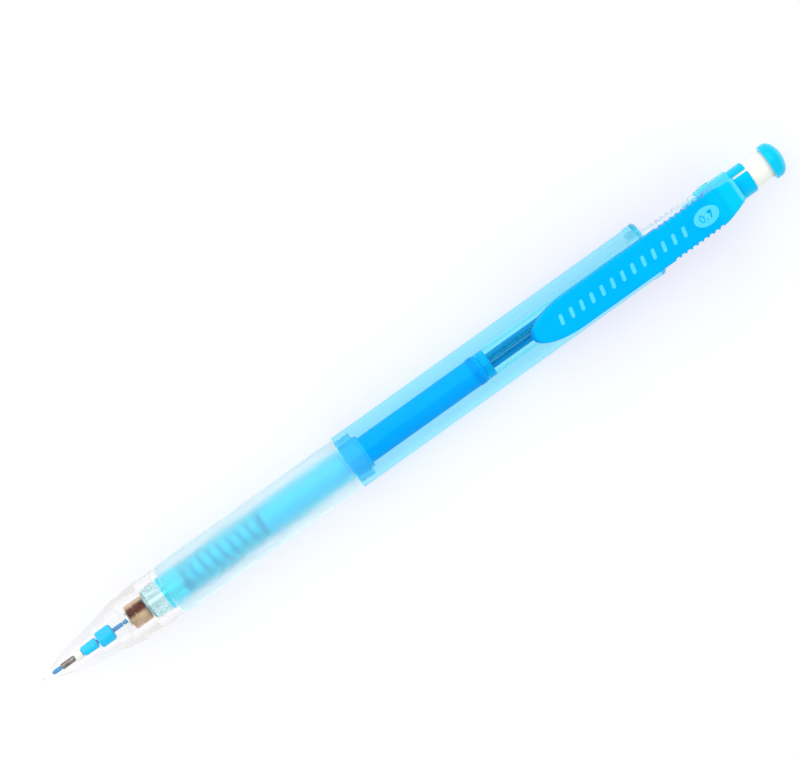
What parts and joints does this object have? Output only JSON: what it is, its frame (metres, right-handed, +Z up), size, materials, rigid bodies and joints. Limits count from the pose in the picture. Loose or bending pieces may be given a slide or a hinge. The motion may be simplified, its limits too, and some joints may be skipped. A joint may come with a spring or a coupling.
{
  "type": "mechanical pencil",
  "caption": "Clear mechanical pencil with a screw-on nose, soft grip, tinted tube barrel, boat-shaped pocket clip, knock button, eraser and cap, lying on its side.",
  "frame": {"origin": "centre of the pencil's outline on the surface that it lies on", "axes": "+X along the pencil from the tip to the cap, +Z up through the clip"},
  "size_m": [0.142, 0.0096, 0.0115],
  "materials": {
    "clear_plastic": "clear moulded plastic",
    "tinted_plastic": "clear cyan-tinted moulded plastic",
    "core_plastic": "translucent cyan moulded plastic",
    "grip_rubber": "frosted, nearly clear soft rubber",
    "clip_plastic": "opaque cyan moulded plastic, satin",
    "tube_plastic": "saturated blue moulded plastic",
    "retainer_rubber": "blue rubber, matt",
    "bush_plastic": "cream moulded plastic",
    "eraser_rubber": "cream white eraser, matt",
    "lead_blue": "blue colour lead, matt",
    "brass": "turned brass",
    "steel": "dark steel"
  },
  "bodies": {
    "housing": {"barrel": "tinted_plastic", "grip_core": "core_plastic", "grip": "grip_rubber", "joint_collar": "core_plastic", "neck": "clear_plastic", "crown": "tinted_plastic", "ring_seat": "steel", "main_spring": "steel"},
    "plunger": {"chuck_stem": "core_plastic", "pipe_coupler": "tube_plastic", "lead_pipe": "clear_plastic", "knock_button": "clip_plastic"},
    "clutch_ring": {"clutch_ring": "brass"},
    "lead": {"lead": "lead_blue"},
    "jaw_1": {"chuck_jaw_1": "brass"},
    "jaw_2": {"chuck_jaw_2": "brass"},
    "jaw_3": {"chuck_jaw_3": "brass"},
    "nose_insert": {"lead_sleeve": "steel", "sleeve_bush": "bush_plastic", "retainer_cone": "retainer_rubber", "lead_retainer": "retainer_rubber"},
    "nose": {"nose_cone": "clear_plastic"},
    "spare_leads": {"spare_lead_1": "lead_blue", "spare_lead_2": "lead_blue", "spare_lead_3": "lead_blue", "spare_lead_4": "lead_blue", "spare_lead_5": "lead_blue"},
    "eraser": {"eraser": "eraser_rubber"},
    "eraser_cap": {"eraser_cap": "clip_plastic"},
    "clip": {"clip": "clip_plastic"}
  },
  "joints": [
    {"name": "knock", "type": "slide", "parent": "housing", "child": "plunger", "axis": [-1, 0, 0], "range_m": [0, 0.0024], "stiffness_N_per_m": 1200, "springref_m": -0.003, "deforming": ["main_spring"]},
    {"name": "ring_slide", "type": "slide", "parent": "housing", "child": "clutch_ring", "axis": [-1, 0, 0], "range_m": [0, 0.0008]},
    {"name": "lead_feed", "type": "slide", "parent": "housing", "child": "lead", "axis": [-1, 0, 0], "range_m": [0, 0.0008]},
    {"name": "jaw_1_open", "type": "hinge", "parent": "plunger", "child": "jaw_1", "pos_m": [-0.0431, 0, 0.00526], "axis": [0, 1, 0], "range_deg": [0, 2]},
    {"name": "jaw_2_open", "type": "hinge", "parent": "plunger", "child": "jaw_2", "pos_m": [-0.0431, -0.00052, 0.00436], "axis": [0, -0.5, 0.866], "range_deg": [0, 2]},
    {"name": "jaw_3_open", "type": "hinge", "parent": "plunger", "child": "jaw_3", "pos_m": [-0.0431, 0.00052, 0.00436], "axis": [0, -0.5, -0.866], "range_deg": [0, 2]},
    {"name": "nose_pull", "type": "slide", "parent": "housing", "child": "nose_insert", "axis": [-1, 0, 0], "range_m": [0, 0.0028]},
    {"name": "nose_turn", "type": "hinge", "parent": "nose_insert", "child": "nose", "pos_m": [-0.071, 0, 0.00466], "axis": [-1, 0, 0], "range_deg": [0, 1260]},
    {"name": "spare_leads_slide", "type": "slide", "parent": "plunger", "child": "spare_leads", "axis": [-1, 0, 0], "range_m": [-0.0009, 0.009]},
    {"name": "eraser_pull", "type": "slide", "parent": "plunger", "child": "eraser", "axis": [1, 0, 0], "range_m": [0, 0.005]},
    {"name": "cap_pull", "type": "slide", "parent": "eraser", "child": "eraser_cap", "axis": [1, 0, 0], "range_m": [0, 0.002]},
    {"name": "clip_flex", "type": "hinge", "parent": "housing", "child": "clip", "pos_m": [0.0616, 0, 0.00811], "axis": [0, 1, 0], "range_deg": [0, 5], "stiffness_Nm_per_rad": 0.4}
  ],
  "couplings": [
    {"joint": "ring_slide", "follows": "knock", "ratio": 0.3333},
    {"joint": "lead_feed", "follows": "knock", "ratio": 0.3333},
    {"joint": "jaw_1_open", "follows": "knock", "rad_per_m": 14.54},
    {"joint": "jaw_2_open", "follows": "knock", "rad_per_m": 14.54},
    {"joint": "jaw_3_open", "follows": "knock", "rad_per_m": 14.54},
    {"joint": "nose_turn", "follows": "nose_pull", "rad_per_m": 7854}
  ]
}
